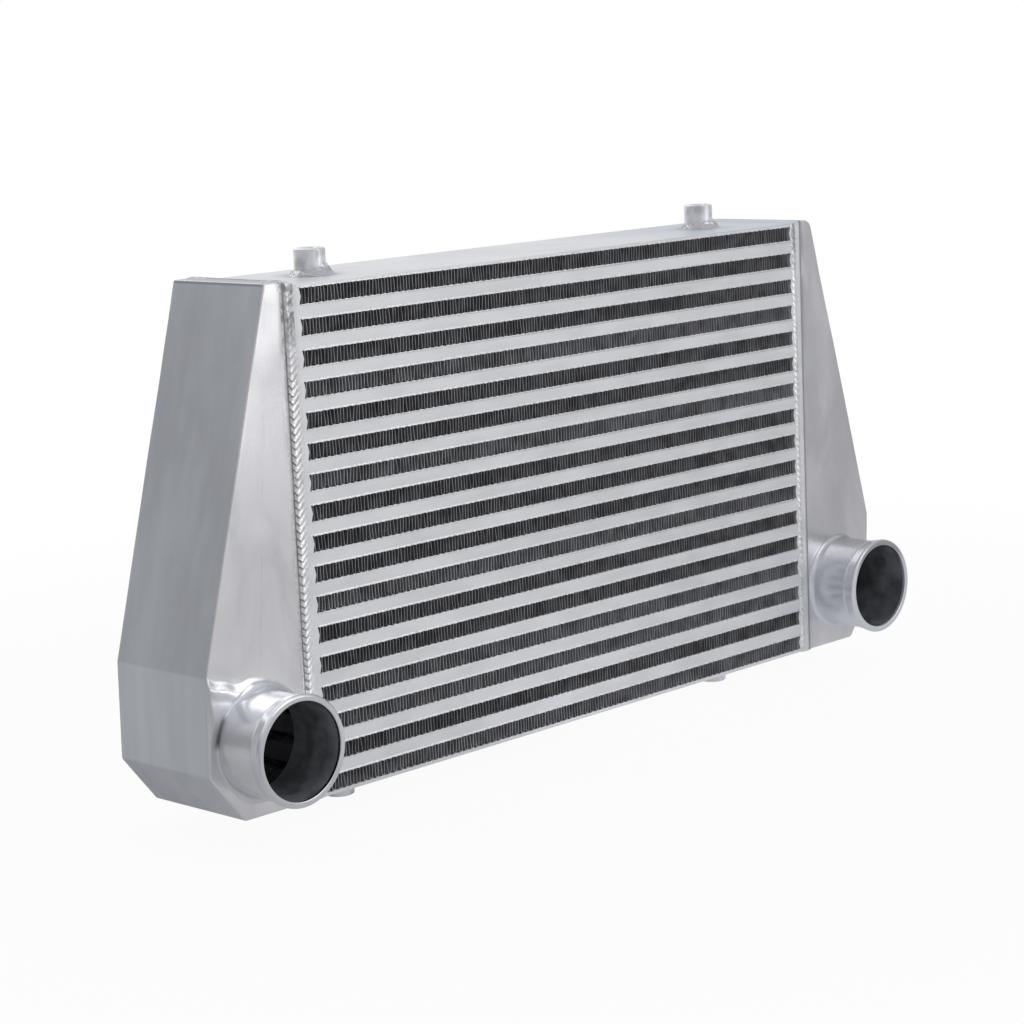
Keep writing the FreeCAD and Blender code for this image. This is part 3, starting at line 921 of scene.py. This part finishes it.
class INTERCOOLER_OT_tank_faces(PieceOperator, bpy.types.Operator):
    """Polishes the front and back sheets of the tanks, with edges ground round"""

    bl_idname = "intercooler.tank_faces"
    bl_label = "Tank faces"

    def execute(self, context):
        for side, sign in SIDES:
            self.sheet(f"{side}_tank_front_sheet", f"{side}_tank_front_plate", sign, True)
            self.sheet(f"{side}_tank_back_sheet", f"{side}_tank_back_plate", sign, False)
        return {"FINISHED"}

    def swell(self, x, z, sign):
        """Depth of the waves that polishing leaves, and of the narrow top that curves back."""
        tanks = self.settings.tanks
        place = Vector((sign * x, sign * 0.37, z))
        waves = noise.noise(place * 24) * 0.7 + noise.noise(place * 55) * 0.3
        high = smooth(z, 0.215, 0.3)
        outward = (x - CORE_END) / tanks.top_width
        warp = noise.noise(Vector((x * 60, sign, z * 40))) * high
        return waves * tanks.wave - tanks.pillow * high * min(2.0, outward) ** 2 * 0.5 + warp * tanks.wave

    def ground_edge(self, point, out, front, top):
        """Width and depth of the ground edge of a face."""
        tanks = self.settings.tanks
        if out.x < -0.99:
            return 0.0, tanks.edge
        width = depth = tanks.edge
        if front and out.x > 0.5:
            height = (point.z - NECK_CENTRE.z - 18 * MM) / (15 * MM)
            width += (tanks.worn_edge - tanks.edge) * math.exp(-height * height)
            depth += (tanks.wall * 0.9 - tanks.edge) * math.exp(-height * height)
        below = top - point.z
        if not front and below < tanks.worn_edge:
            share = 1 - below / tanks.worn_edge
            depth = max(depth, tanks.wall * 0.95 * (1 - math.sqrt(1 - share * share)))
            width = tanks.worn_edge * 0.8 if out.z > 0.9 else width
        return width, depth

    def sheet(self, name, node, sign, front):
        tanks = self.settings.tanks
        hole = self.settings.necks.radius + 0.1 * MM
        longest = FRONT_STEP if front else BACK_STEP
        line = tank_line(tanks, sign, longest)
        top = line[0][0]
        closing = math.ceil((top.z - TANK_LOW.z) / longest)
        for i in range(1, closing):
            line.append((Vector((CORE_END, 0, TANK_LOW.z)).lerp(top, i / closing), Vector((-1, 0, 0))))
        close_rings, far_rings = (26, 20) if front else (3, 12)
        rings = close_rings + far_rings
        edges = [self.ground_edge(point, out, front, top.z) for point, out in line]
        rays = []
        for (point, out), (width, _) in zip(line, edges):
            ray = point - out * width - NECK_CENTRE
            ray.y = 0
            rays.append((ray.normalized(), ray.length - hole))
        points = []
        for j in range(rings + 1):
            for ray, length in rays:
                close = min(CLOSE_REACH, length * 0.7)
                away = close * min(1.0, j / close_rings)
                away += (length - close) * max(0.0, (j - close_rings) / far_rings)
                place = NECK_CENTRE + ray * (hole + away)
                y = TANK_FRONT - self.swell(place.x, place.z, sign) * smooth(away, 0.002, 0.012)
                if front:
                    y -= ground_height(place.x, place.z, sign, tanks)
                points.append(Vector((place.x, y, place.z)))
        count = len(line)
        for j in range(1, BEND_STEPS + 1):
            turn = math.pi / 2 * j / BEND_STEPS
            for k, ((_, out), (width, depth)) in enumerate(zip(line, edges)):
                base = points[rings * count + k]
                shift = out * width * math.sin(turn)
                points.append(base + shift + Vector((0, depth * (1 - math.cos(turn)), 0)))
        inner_y = TANK_FRONT + tanks.wall
        points += [Vector((point.x, inner_y, point.z)) for point, _ in line]
        for ray, _ in rays:
            start = NECK_CENTRE + ray * hole
            points.append(Vector((start.x, inner_y, start.z)))
        layers = rings + 1 + BEND_STEPS + 2
        faces = grid(count, layers, close_columns=True, close_rows=front)
        seen = count * (rings + BEND_STEPS - 2)
        brushed = count * (layers - 2)
        picks = [0] * seen + [2] * (brushed - seen) + [1] * (len(faces) - brushed)
        if not front:
            faces.append(tuple(range(count))[::-1])
            picks.append(0)
            faces.append(tuple((layers - 1) * count + k for k in range(count)))
            picks.append(1)
            points = [Vector((p.x, -p.y, p.z)) for p in points]
        make_piece(name, on_side(points, sign), faces, ["face", "inside", "side"], [node],
                   picks, sharp=50)


# Share of a ripple in which it climbs, before it falls away
CLIMB = 0.16

# Width of the right bead on the core beside the left one's
RIGHT_ON_CORE = 1.18

# Share of a ripple that is groove on the left bead, given painted shade, from a place on the section
# towards the tank
GROOVES = ((0.3, 0.32), (0.1, 0.26), (-0.1, 0.16))

# Finishes of a bead: as laid, painted shade, satin, and the darker boss weld for painted shade at the right
# toe
BEAD_FINISHES = ("weld", "weld toe", "bar", "boss weld")

# Section of a bead from the tank to the core: place as a share of the width on that side,
# how far it has sunk to the tank's surface, height as a share of the crown, share of the ripples
BEAD_SECTION = (
    (1.0, 1.0, -0.1, 0.0), (0.82, 1.0, 0.06, 0.0), (0.66, 0.95, 0.12, 0.05), (0.5, 0.8, 0.25, 0.2),
    (0.36, 0.55, 0.5, 0.7), (0.2, 0.25, 0.8, 1.0), (0.04, 0.0, 1.0, 1.0), (-0.06, 0.0, 1.0, 1.0),
    (-0.16, 0.0, 0.9, 0.9), (-0.27, 0.0, 0.76, 0.76), (-0.4, 0.0, 0.58, 0.6), (-0.53, 0.0, 0.42, 0.44),
    (-0.67, 0.0, 0.27, 0.3), (-0.82, 0.0, 0.14, 0.16), (-0.93, 0.0, 0.04, 0.07), (-1.0, 0.0, -0.08, 0.0),
)

# The same for the right bead, which was ground down but for a ragged line on the core
GROUND_SECTION = (
    (1.0, 1.0, -0.1, 0.0), (0.88, 1.0, 0.16, 0.0), (0.8, 1.0, 0.2, 0.0), (0.6, 0.9, 0.24, 0.0),
    (0.4, 0.7, 0.3, 0.0), (0.2, 0.4, 0.4, 0.0), (0.03, 0.1, 0.48, 0.0), (-0.15, 0.0, 0.48, 0.06),
    (-0.3, 0.0, 0.44, 0.12), (-0.44, 0.0, 0.42, 0.3), (-0.55, 0.0, 0.5, 0.8), (-0.65, 0.0, 0.66, 1.0),
    (-0.76, 0.0, 0.6, 1.0), (-0.87, 0.0, 0.35, 0.8), (-0.95, 0.0, 0.1, 0.4), (-1.0, 0.0, -0.1, 0.0),
)


class INTERCOOLER_OT_tank_welds(PieceOperator, bpy.types.Operator):
    """Lays a rippled bead round each end of the core"""

    bl_idname = "intercooler.tank_welds"
    bl_label = "Tank welds"

    def execute(self, context):
        for side, sign in SIDES:
            self.bead(side, sign)
        return {"FINISHED"}

    def path(self, sign):
        """Stations round the end of the core: travel, core side, tank side, outward direction and
        how far the bead climbs from the core to a tank that stands proud, as across top and bottom."""
        step, corner_step, corner_steps = 0.4 * MM, 0.25 * MM, 6
        low, high = CORE_LOW.z, CORE_HIGH.z
        tank_low, tank_high = TANK_LOW.z, tank_top(self.settings.tanks, sign)
        core, tank = CORE_LOW.y, TANK_FRONT
        legs = [
            ((core, low), (core, high), (tank, tank_low), (tank, tank_high), Vector((0, -1, 0))),
            ((core, high), (-core, high), (tank, tank_high), (-tank, tank_high), Vector((0, 0, 1))),
            ((-core, high), (-core, low), (-tank, tank_high), (-tank, tank_low), Vector((0, 1, 0))),
            ((-core, low), (core, low), (-tank, tank_low), (tank, tank_low), Vector((0, 0, -1))),
        ]
        stations, travel = [], 0.0
        for number, (core_a, core_b, tank_a, tank_b, out) in enumerate(legs):
            length = math.dist(core_a, core_b)
            count = round(length / step)
            climb = number % 2
            for i in range(count + 1):
                share = i / count
                on_core = Vector((0, *core_a)).lerp(Vector((0, *core_b)), share)
                on_tank = Vector((0, *tank_a)).lerp(Vector((0, *tank_b)), share)
                stations.append((travel + share * length, on_core, on_tank, out, climb))
            travel += length
            following = legs[(number + 1) % 4][4]
            for i in range(1, corner_steps):
                turned = out.slerp(following, i / corner_steps)
                change = climb + (1 - 2 * climb) * i / corner_steps
                stations.append((travel + i * corner_step, on_core, on_tank, turned, change))
            travel += corner_steps * corner_step
        return stations

    def bead(self, side, sign):
        """The left bead is rippled all along; the right one was laid over and is smoother."""
        welds, tanks = self.settings.welds, self.settings.tanks
        left = sign < 0
        on_core_width = welds.on_core * (1.0 if left else RIGHT_ON_CORE)
        on_tank_width = welds.on_tank if left else welds.wide
        section = BEAD_SECTION if left else GROUND_SECTION
        points, picks = [], []
        stations = self.path(sign)
        for travel, on_core, on_tank, out, climb in stations:
            wander = noise.noise(Vector((travel * 70, sign * 5.0, 0))) * 0.4 * MM
            calm = left * (out.y < -0.5) * smooth(on_core.z, CORE_HIGH.z - 0.06, CORE_HIGH.z - 0.035)
            uneven = 0.16 + 0.5 * calm
            size = 1 + uneven * noise.noise(Vector((travel * 110, 3.0, sign)))
            patchy = smooth(noise.noise(Vector((travel * 28, 7.0, sign))), -0.15, 0.25)
            relief = welds.relief * (0.75 + 0.25 * patchy if left else 0.25 + 0.35 * patchy)
            relief *= 1 - 0.7 * calm
            low_part = 0.0
            if left and out.z > 0.9:
                low_part = 1 - smooth(abs(on_core.y), tanks.low_bead / 2, tanks.low_bead / 2 + 4 * MM)
                relief *= 0.1 * (1 - low_part)
                size *= 0.6
            elif out.z > 0.9:
                relief *= 0.25
            for share, sink, rise, ripples in section:
                away = (on_tank_width if share > 0 else on_core_width) * share
                away += left * welds.shift * (1 - share * share)
                tip = (1.1 if left else 0.3) * MM
                phase = (travel - welds.chevron * abs(away - tip)) / welds.ripple
                phase += 0.34 * noise.noise(Vector((travel * 60, sign * 9.0, 1.0)))
                step = phase - math.floor(phase)
                scale = step / CLIMB if step < CLIMB else ((1 - step) / (1 - CLIMB)) ** 2
                height = welds.crown * size * rise * (1 - 0.45 * low_part)
                height += relief * ripples * (scale - 0.35)
                x = CORE_END + away + ripples * ((scale - 0.4) * 0.5 * MM * (share > -0.2) + wander)
                level = sink + climb * (smooth(share, -1.0, -0.05) - sink)
                point = on_core.lerp(on_tank, level) + out * height
                points.append(Vector((sign * x, point.y, point.z)))
                finish = self.finish_at(share, step + calm, left, low_part, out)
                picks.append(BEAD_FINISHES.index(finish))
            inner = on_core.lerp(on_tank, 0.5) - out * 0.6 * MM
            points.append(Vector((sign * CORE_END, inner.y, inner.z)))
            picks.append(BEAD_FINISHES.index("weld"))
        columns = len(section) + 1
        faces = grid(columns, len(stations), close_columns=True, close_rows=True)
        make_piece(f"{side}_core_bead", points, faces, BEAD_FINISHES,
                   [f"{side}_tank_weld"], picks, sharp=60)

    def finish_at(self, share, step, left, low_part, out):
        """The left bead has painted shade at its toe and in the groove under a ripple, and is satin where
        it runs out on the core. The right one is satin where it is ground, and has painted shade at its
        toe."""
        if not left:
            if share > 0.95:
                return "boss weld"
            return "bar" if share > -0.5 or out.z > 0.9 else "weld"
        if 0.4 < share < 0.6 or (low_part > 0.5 and share > -0.6):
            return "weld toe"
        if share < -0.6:
            return "bar"
        groove = next((part for place, part in GROOVES if share > place), 0.0)
        return "weld toe" if share < 0.4 and step < groove else "weld"


def round_neck(step, out, along):
    """A place round the axis of a neck, which points forwards, a step being a cosine and a sine."""
    return Vector((NECK_CENTRE.x + out * step[0], along, NECK_CENTRE.z + out * step[1]))


class INTERCOOLER_OT_necks(PieceOperator, bpy.types.Operator):
    """Turns the two hose necks with groove, lip and rounded mouth"""

    bl_idname = "intercooler.necks"
    bl_label = "Necks"

    def execute(self, context):
        necks = self.settings.necks
        mouth, foot = NECK_LOW.y, NECK_HIGH.y
        r, bore, lip = necks.radius, necks.bore, LIP_RADIUS
        start = mouth + necks.lip
        outer = [
            (r, foot), (r, start + 1.1 * MM), (r - 0.12 * MM, start + 0.7 * MM),
            (r - necks.groove, start + 0.35 * MM), (r - necks.groove, start - 0.15 * MM),
            (r + 0.45 * MM, start - 0.5 * MM), (r + 0.7 * MM, start - 0.9 * MM),
            (r + 0.95 * MM, start - 2.4 * MM), (r + 1.3 * MM, start - 4.4 * MM),
            (r + 1.65 * MM, start - 6.0 * MM), (lip, mouth + 2.2 * MM),
        ]
        outer += [(lip - necks.mouth * (1 - math.cos(a)), mouth + necks.mouth * (1 - math.sin(a)))
                  for a in (math.radians(d) for d in (0, 22, 45, 68, 90))]
        rim = 0.6 * MM
        inner = [(bore + rim * (1 - math.sin(a)), mouth + rim * (1 - math.cos(a)))
                 for a in (math.radians(d) for d in (0, 30, 60, 90))]
        inner += [(bore, mouth + 2.2 * MM), (bore, foot)]
        profile = outer + inner
        segments = NECK_SEGMENTS
        faces = grid(segments, len(profile), close_columns=True, close_rows=True)
        bare = len(outer) + 4
        picks = [0 if i // segments < bare else 1 for i in range(len(faces))]
        picks[-segments:] = [0] * segments
        points = [round_neck(step, out, along) for out, along in profile for step in circle(segments)]
        for side, sign in SIDES:
            make_piece(f"{side}_neck", on_side(points, sign), faces, ["neck", "inside"],
                       ["necks"], picks, sharp=50, weigh=True)
        return {"FINISHED"}


class INTERCOOLER_OT_neck_fillets(PieceOperator, bpy.types.Operator):
    """Dresses the welds round the feet of the necks to smooth hollow fillets"""

    bl_idname = "intercooler.neck_fillets"
    bl_label = "Neck fillets"

    def execute(self, context):
        tanks, necks = self.settings.tanks, self.settings.necks
        around, steps = circle(FILLET_SEGMENTS), 14
        faces = grid(len(around), steps + 3, close_columns=True, close_rows=True)
        for side, sign in SIDES:
            points = []
            scale = necks.fillet_right if sign > 0 else 1.0
            for j in range(steps + 1):
                turn = math.pi / 2 * j / steps
                for step in around:
                    size = scale * fillet_share(*step, necks)
                    lump = noise.noise(Vector((*step, 0)) * 2 + Vector((0, 0, sign))) * 0.5 * MM * size
                    out = necks.radius + (necks.fillet_foot * size + lump) * (1 - math.cos(turn))
                    along = TANK_FRONT - (necks.fillet_height * size + lump) * (1 - math.sin(turn))
                    place = round_neck(step, out, along)
                    place.y -= ground_height(place.x, place.z, sign, tanks)
                    points.append(place)
            for out in (necks.radius + 0.8 * MM, necks.radius - 0.5 * MM):
                points += [round_neck(step, out, TANK_FRONT + 0.4 * MM) for step in around]
            make_piece(f"{side}_neck_fillet", on_side(points, sign), faces, ["neck"],
                       ["neck_welds"], sharp=60)
        return {"FINISHED"}


class INTERCOOLER_OT_bosses(PieceOperator, bpy.types.Operator):
    """Turns the threaded bosses and lays the lumpy weld round each"""

    bl_idname = "intercooler.bosses"
    bl_label = "Bosses"

    def execute(self, context):
        bosses = self.settings.bosses
        for side, sign in reversed(SIDES):
            for level, up in (("upper", 1), ("lower", -1)):
                base = CORE_HIGH.z if up > 0 else CORE_LOW.z
                centre = Vector((sign * bosses.out, 0, base))
                self.body(f"{side}_{level}_boss", centre, up, f"{level}_bosses")
                self.skirt(f"{side}_{level}_boss_weld", centre, up, f"{level}_bosses")
        return {"FINISHED"}

    def body(self, name, centre, up, node):
        bosses = self.settings.bosses
        around = circle(BOSS_SEGMENTS)
        segments = len(around)
        height, radius = bosses.height, bosses.radius
        floor = height - bosses.thread_depth
        profile = [(radius, 0.0), (radius, height - 0.8 * MM), (radius - 0.25 * MM, height - 0.3 * MM),
                   (radius - 0.8 * MM, height), (bosses.hole + 1.1 * MM, height),
                   (bosses.hole + 0.6 * MM, height - 0.5 * MM)]
        points = [Vector((out * c, out * s, along)) for out, along in profile for c, s in around]
        thread_top = height - 0.8 * MM
        levels = int(bosses.thread_depth / bosses.thread_pitch * LEVELS_PER_TURN)
        for k in range(levels + 1):
            along = thread_top - (thread_top - floor) * k / levels
            for i, (c, s) in enumerate(around):
                phase = (along / bosses.thread_pitch - i / segments) % 1
                out = bosses.hole + THREAD_HEIGHT * (1 - abs(2 * phase - 1))
                points.append(Vector((out * c, out * s, along)))
        rows = len(points) // segments
        faces = grid(segments, rows, close_columns=True)
        faces.append(tuple(range(segments))[::-1])
        faces.append(tuple((rows - 1) * segments + i for i in range(segments)))
        points = [centre + Vector((p.x, p.y, up * p.z)) for p in points]
        make_piece(name, points, faces, ["boss"], [node], sharp=40, weigh=True)

    def skirt(self, name, centre, up, node):
        bosses = self.settings.bosses
        around, steps = circle(SKIRT_SEGMENTS), 18
        points = []
        for j in range(steps + 1):
            share = j / steps
            for c, s in around:
                round_place = Vector((c, s, 0))
                lumpy = noise.noise(round_place * 3.2 + centre * 40 + Vector((0, 0, share * 2)))
                fine = noise.noise(round_place * 8 + Vector((0, 0, share * 7)))
                reach = bosses.skirt - bosses.radius
                reach *= 1 + 0.16 * noise.noise(round_place * 1.4 + centre * 30)
                out = bosses.radius - 0.2 * MM + reach * share
                high_side = round_place.dot(SKIRT_HIGH_SIDE)
                rise = bosses.skirt_height * (1 + 0.22 * lumpy) * (1 - share) ** 1.8
                rise *= 1 - bosses.lean * (0.8 - 0.7 * high_side)
                lumps = 1.3 * MM * abs(lumpy) ** 0.7 * math.sin(math.pi * min(1.0, share * 1.7)) ** 0.8
                lumps += 0.8 * MM * fine * (1 - share) ** 0.5
                along = max(rise + lumps * (0 < share < 1), 0.0)
                if j == steps:
                    along = -0.1 * MM
                points.append(centre + Vector((out * c, out * s, up * along)))
        out = bosses.radius - 0.8 * MM
        points += [centre + Vector((out * c, out * s, -up * 0.1 * MM)) for c, s in around]
        faces = grid(len(around), steps + 2, close_columns=True, close_rows=True)
        make_piece(name, points, faces, ["boss weld"], [node], sharp=70)


# Brightness of the studio on the whole, and what is added towards some directions: the direction,
# the cosines from it at which that begins and is full, and how much it is
LEFT_BEHIND = (-0.78, 0.62, 0)
STUDIO_BASE = 0.42
STUDIO_GLOWS = (
    ((0.2, -0.98, 0), 0.74, 0.95, 0.23),
    ((0.6, 0.8, 0), 0.3, 0.95, 0.44),
    ((0.86, -0.51, 0), 0.85, 0.98, 0.09),
    (LEFT_BEHIND, 0.3, 0.9, -0.09),
)
STUDIO_WHITE = (1.0, 1.0, 1.03)

# Soft lamps: name, place, target, size and the setting that holds the power
LAMPS = (
    ("front softbox", (0.5, -2.2, 2.0), (0, 0, 0.15), (1.6, 1.2), "key"),
    ("low softbox", (1.13, -1.94, 0.46), (-0.25, -0.04, 0.3), (0.6, 0.8), "low"),
    ("back softbox", (-0.2, 1.5, 1.45), (0, 0, 0.15), (1.6, 0.5), "top"),
)

# The camera as solved on the photo: its place and the directions to its right, up and ahead
CAMERA_PLACE = (-1.25898, -1.22095, 0.45629)
CAMERA_RIGHT = (0.69505116, -0.71769742, -0.04259456)
CAMERA_UP = (0.15238359, 0.08915863, 0.98429161)
CAMERA_AHEAD = (0.70262588, 0.69062374, -0.17133511)


def studio_level(nodes, direction):
    """Brightness of the studio round the object, for what the metal mirrors: bright in front and at the
    right behind, dim at the left behind."""
    level = STUDIO_BASE
    for towards, low, high, gain in STUDIO_GLOWS:
        level = nodes.measure("DOT_PRODUCT", direction, towards).between(low, high) * gain + level
    return level


class INTERCOOLER_OT_studio(PieceOperator, bpy.types.Operator):
    """Sets up the pale floor, the white surroundings, the soft lamps and the camera"""

    bl_idname = "intercooler.studio"
    bl_label = "Studio"

    def execute(self, context):
        stage = self.settings.stage
        self.floor(stage)
        self.surroundings(context.scene)
        for name, place, target, size, power in LAMPS:
            self.lamp(name, place, target, size, getattr(stage, power))
        self.camera(context.scene, stage)
        return {"FINISHED"}

    def floor(self, stage):
        mesh = bpy.data.meshes.new("floor")
        half = 40.0
        corners = [(-half, -half, 0), (half, -half, 0), (half, half, 0), (-half, half, 0)]
        mesh.from_pydata(corners, [], [(0, 1, 2, 3)])
        material, nodes = new_material("pale floor")
        place = nodes.place()[0]
        far = nodes.measure("LENGTH", place)
        direction = nodes.add("ShaderNodeVectorMath", {"operation": "NORMALIZE"}, {0: place}).outputs[0]
        behind = nodes.measure("DOT_PRODUCT", direction, LEFT_BEHIND)
        level = studio_level(nodes, direction) * (0.87 + 0.1 * far.between(1.6, 3.2))
        level += behind.between(0.3, 0.9) * far.between(0.22, 0.5) * 0.17
        level += (1 - far.between(0.2, 0.45)) * (1 - behind.between(0.65, 0.95)) * 0.2
        matt = nodes.add("ShaderNodeBsdfDiffuse", None, {"Color": stage.floor})
        seen, mirrored = nodes.rays()
        grey = nodes.mix(level, (0, 0, 0), STUDIO_WHITE)
        glow = nodes.add("ShaderNodeEmission", None, {"Color": nodes.mix(seen, grey, (1, 1, 1))})
        share = (seen * (0.94 + 0.06 * far.between(0.45, 1.1))).math("MAXIMUM", mirrored * 0.85)
        both = nodes.add("ShaderNodeMixShader", None, {0: share, 1: matt.outputs[0], 2: glow.outputs[0]})
        nodes.add("ShaderNodeOutputMaterial", None, {"Surface": both.outputs[0]})
        mesh.materials.append(material)
        new_object("floor", mesh)

    def surroundings(self, scene):
        world = bpy.data.worlds.new("white studio")
        world.use_nodes = True
        nodes = Shading(world.node_tree)
        direction = nodes.add("ShaderNodeTexCoord").outputs["Generated"]
        height = Amount(nodes, nodes.add("ShaderNodeSeparateXYZ", None, {0: direction}).outputs[2])
        level = studio_level(nodes, direction)
        level = level + (0.8 - level) * height.between(0.2, 0.75)
        walls = nodes.mix(level, (0, 0, 0), STUDIO_WHITE)
        seen, mirrored = nodes.rays()
        colour = nodes.mix(mirrored, (0.6, 0.6, 0.61), walls)
        colour = nodes.mix(seen, colour, (1, 1, 1))
        light = nodes.add("ShaderNodeBackground", None, {"Color": colour, "Strength": 1.0})
        nodes.add("ShaderNodeOutputWorld", None, {"Surface": light.outputs[0]})
        scene.world = world

    def lamp(self, name, place, target, size, power):
        data = bpy.data.lights.new(name, "AREA")
        data.shape = "RECTANGLE"
        data.size, data.size_y = size
        data.energy = power
        lamp = new_object(name, data)
        lamp.location = place
        lamp.rotation_euler = (Vector(target) - Vector(place)).to_track_quat("-Z", "Y").to_euler()

    def camera(self, scene, stage):
        data = bpy.data.cameras.new("camera")
        data.lens = stage.lens
        data.sensor_width = 36.0
        data.clip_end = 100.0
        axes = Matrix((Vector(CAMERA_RIGHT), Vector(CAMERA_UP), -Vector(CAMERA_AHEAD)))
        scene.camera = new_object("camera", data)
        scene.camera.matrix_world = Matrix.Translation(CAMERA_PLACE) @ axes.transposed().to_4x4()
        scene.view_settings.view_transform = "Standard"


OPERATORS = (
    INTERCOOLER_OT_ambient_fins,
    INTERCOOLER_OT_core_bars,
    INTERCOOLER_OT_tank_wraps,
    INTERCOOLER_OT_tank_faces,
    INTERCOOLER_OT_tank_welds,
    INTERCOOLER_OT_necks,
    INTERCOOLER_OT_neck_fillets,
    INTERCOOLER_OT_bosses,
    INTERCOOLER_OT_studio,
)


class INTERCOOLER_PT_looks(bpy.types.Panel):
    """Lists the pieces of the looks"""

    bl_label = "Intercooler"
    bl_space_type = "VIEW_3D"
    bl_region_type = "UI"
    bl_category = "Intercooler"

    def draw(self, context):
        for operator in OPERATORS:
            self.layout.operator(operator.bl_idname)
        for name, kind in SETTINGS.items():
            box = self.layout.box()
            box.label(text=name.capitalize())
            for field in kind.__annotations__:
                box.prop(getattr(context.scene.intercooler, name), field)


CLASSES = (*SETTINGS.values(), IntercoolerSettings, *OPERATORS, INTERCOOLER_PT_looks)


def register():
    for kind in CLASSES:
        bpy.utils.register_class(kind)
    bpy.types.Scene.intercooler = bpy.props.PointerProperty(type=IntercoolerSettings)


def unregister():
    del bpy.types.Scene.intercooler
    for kind in reversed(CLASSES):
        bpy.utils.unregister_class(kind)


def main():
    """Dresses the whole intercooler."""
    register()
    for operator in OPERATORS:
        family, name = operator.bl_idname.split(".")
        getattr(getattr(bpy.ops, family), name)()


if __name__ == "__main__":
    main()
